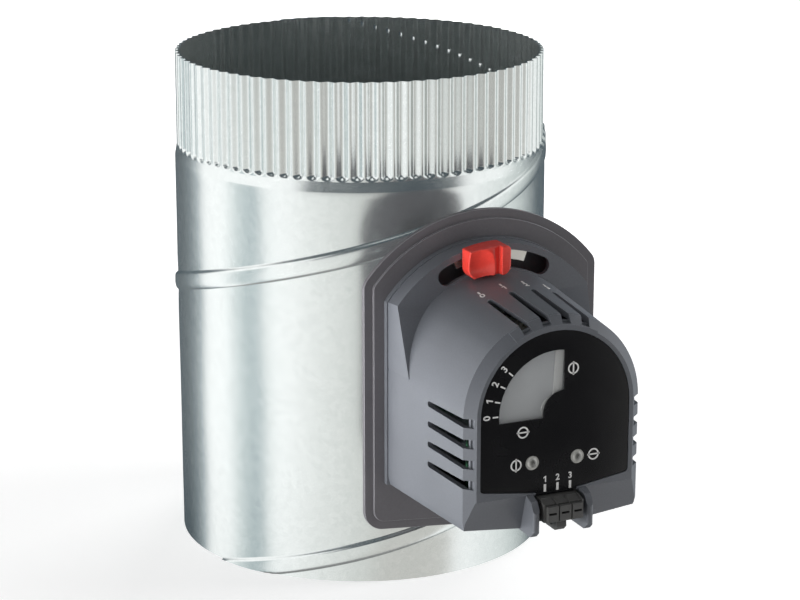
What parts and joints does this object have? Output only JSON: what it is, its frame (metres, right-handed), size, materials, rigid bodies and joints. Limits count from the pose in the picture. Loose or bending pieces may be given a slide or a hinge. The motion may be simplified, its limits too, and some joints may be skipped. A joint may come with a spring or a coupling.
{
  "type": "motorized duct damper",
  "caption": "Round crimped duct section with a motor-driven blade, a drafted plastic actuator on a standoff bracket, a range stop lever and a plug-in terminal block.",
  "frame": {"origin": "centre of the plain end of the duct sleeve, on the duct's axis", "axes": "+Z along the duct towards the crimped end; -Y out from the duct through the blade shaft to the actuator's face; +X to the right seen from the front"},
  "size_m": [0.1548, 0.2679, 0.2032],
  "materials": {
    "galvanized_steel": "bright hot-dip galvanized sheet, rolled",
    "zinc_plated_steel": "clear zinc plated, satin",
    "nickel_plated_steel": "bright plated strip",
    "case_plastic": "blue-grey moulded plastic, fine texture",
    "base_plastic": "dark warm grey moulded plastic, fine texture",
    "face_plastic": "black printed face label, satin",
    "clear_window": "clear polycarbonate",
    "dial_plastic": "light grey satin",
    "clear_lamp": "water clear epoxy",
    "circuit_board": "green solder mask",
    "terminal_plastic": "dark grey moulded plastic",
    "foam_rubber": "closed cell foam",
    "nylon": "natural nylon",
    "pointer_plastic": "white moulded plastic",
    "knob_plastic": "glossy red moulded plastic"
  },
  "bodies": {
    "case": {"duct_sleeve": "galvanized_steel", "spiral_seam": "galvanized_steel", "crimped_end": "galvanized_steel", "near_bushing": "nylon", "far_bushing": "nylon", "standoff_bracket": "zinc_plated_steel", "bracket_rivets": "zinc_plated_steel", "base_plate": "base_plastic", "plate_screws": "zinc_plated_steel", "housing_cover": "case_plastic", "cover_screws": "zinc_plated_steel", "face_plate": "face_plastic", "window_lens": "clear_window", "dial_plate": "dial_plastic", "open_lamp": "clear_lamp", "closed_lamp": "clear_lamp", "circuit_board": "circuit_board", "board_screws": "zinc_plated_steel", "gear_plate": "zinc_plated_steel", "gear_plate_screws": "zinc_plated_steel", "idler_pin": "zinc_plated_steel", "drive_motor": "zinc_plated_steel", "motor_screws": "zinc_plated_steel", "lever_washer": "zinc_plated_steel", "terminal_header": "terminal_plastic"},
    "blade": {"shaft": "zinc_plated_steel", "shaft_clips": "zinc_plated_steel", "blade_plate_left": "galvanized_steel", "blade_plate_right": "galvanized_steel", "blade_gasket": "foam_rubber", "blade_fasteners": "zinc_plated_steel", "output_gear": "nylon", "hub_screw": "zinc_plated_steel", "position_pointer": "pointer_plastic"},
    "motor_shaft": {"motor_pinion": "zinc_plated_steel"},
    "idler": {"idler_gear": "nylon"},
    "range_stop": {"stop_lever": "nickel_plated_steel", "stop_knob": "knob_plastic"},
    "plug": {"terminal_plug": "terminal_plastic", "release_pin": "zinc_plated_steel"},
    "release_1": {"release_lever_1": "terminal_plastic"},
    "release_2": {"release_lever_2": "terminal_plastic"},
    "release_3": {"release_lever_3": "terminal_plastic"}
  },
  "joints": [
    {"name": "blade_turn", "type": "hinge", "parent": "case", "child": "blade", "pos_m": [0, -0.0762, 0.1016], "axis": [0, -1, 0], "range_deg": [0, 90]},
    {"name": "idler_spin", "type": "hinge", "parent": "case", "child": "idler", "pos_m": [-0.01551, -0.13, 0.08174], "axis": [0, -1, 0], "range_deg": [-451, 1]},
    {"name": "motor_spin", "type": "hinge", "parent": "case", "child": "motor_shaft", "pos_m": [0.00033, -0.135, 0.07837], "axis": [0, -1, 0], "range_deg": [-1, 1576]},
    {"name": "range_stop_turn", "type": "hinge", "parent": "case", "child": "range_stop", "pos_m": [0, -0.1228, 0.1016], "axis": [0, -1, 0], "range_deg": [-20.6, 20.6]},
    {"name": "plug_pull", "type": "slide", "parent": "case", "child": "plug", "axis": [0, -1, 0], "range_m": [0, 0.014]},
    {"name": "release_1_press", "type": "hinge", "parent": "plug", "child": "release_1", "pos_m": [-0.00438, -0.1806, 0.0686], "axis": [1, 0, 0], "range_deg": [0, 8], "stiffness_Nm_per_rad": 0.0005},
    {"name": "release_2_press", "type": "hinge", "parent": "plug", "child": "release_2", "pos_m": [0.0007, -0.1806, 0.0686], "axis": [1, 0, 0], "range_deg": [0, 8], "stiffness_Nm_per_rad": 0.0005},
    {"name": "release_3_press", "type": "hinge", "parent": "plug", "child": "release_3", "pos_m": [0.00578, -0.1806, 0.0686], "axis": [1, 0, 0], "range_deg": [0, 8], "stiffness_Nm_per_rad": 0.0005}
  ],
  "couplings": [
    {"joint": "idler_spin", "follows": "blade_turn", "ratio": -5},
    {"joint": "motor_spin", "follows": "blade_turn", "ratio": 17.5}
  ]
}
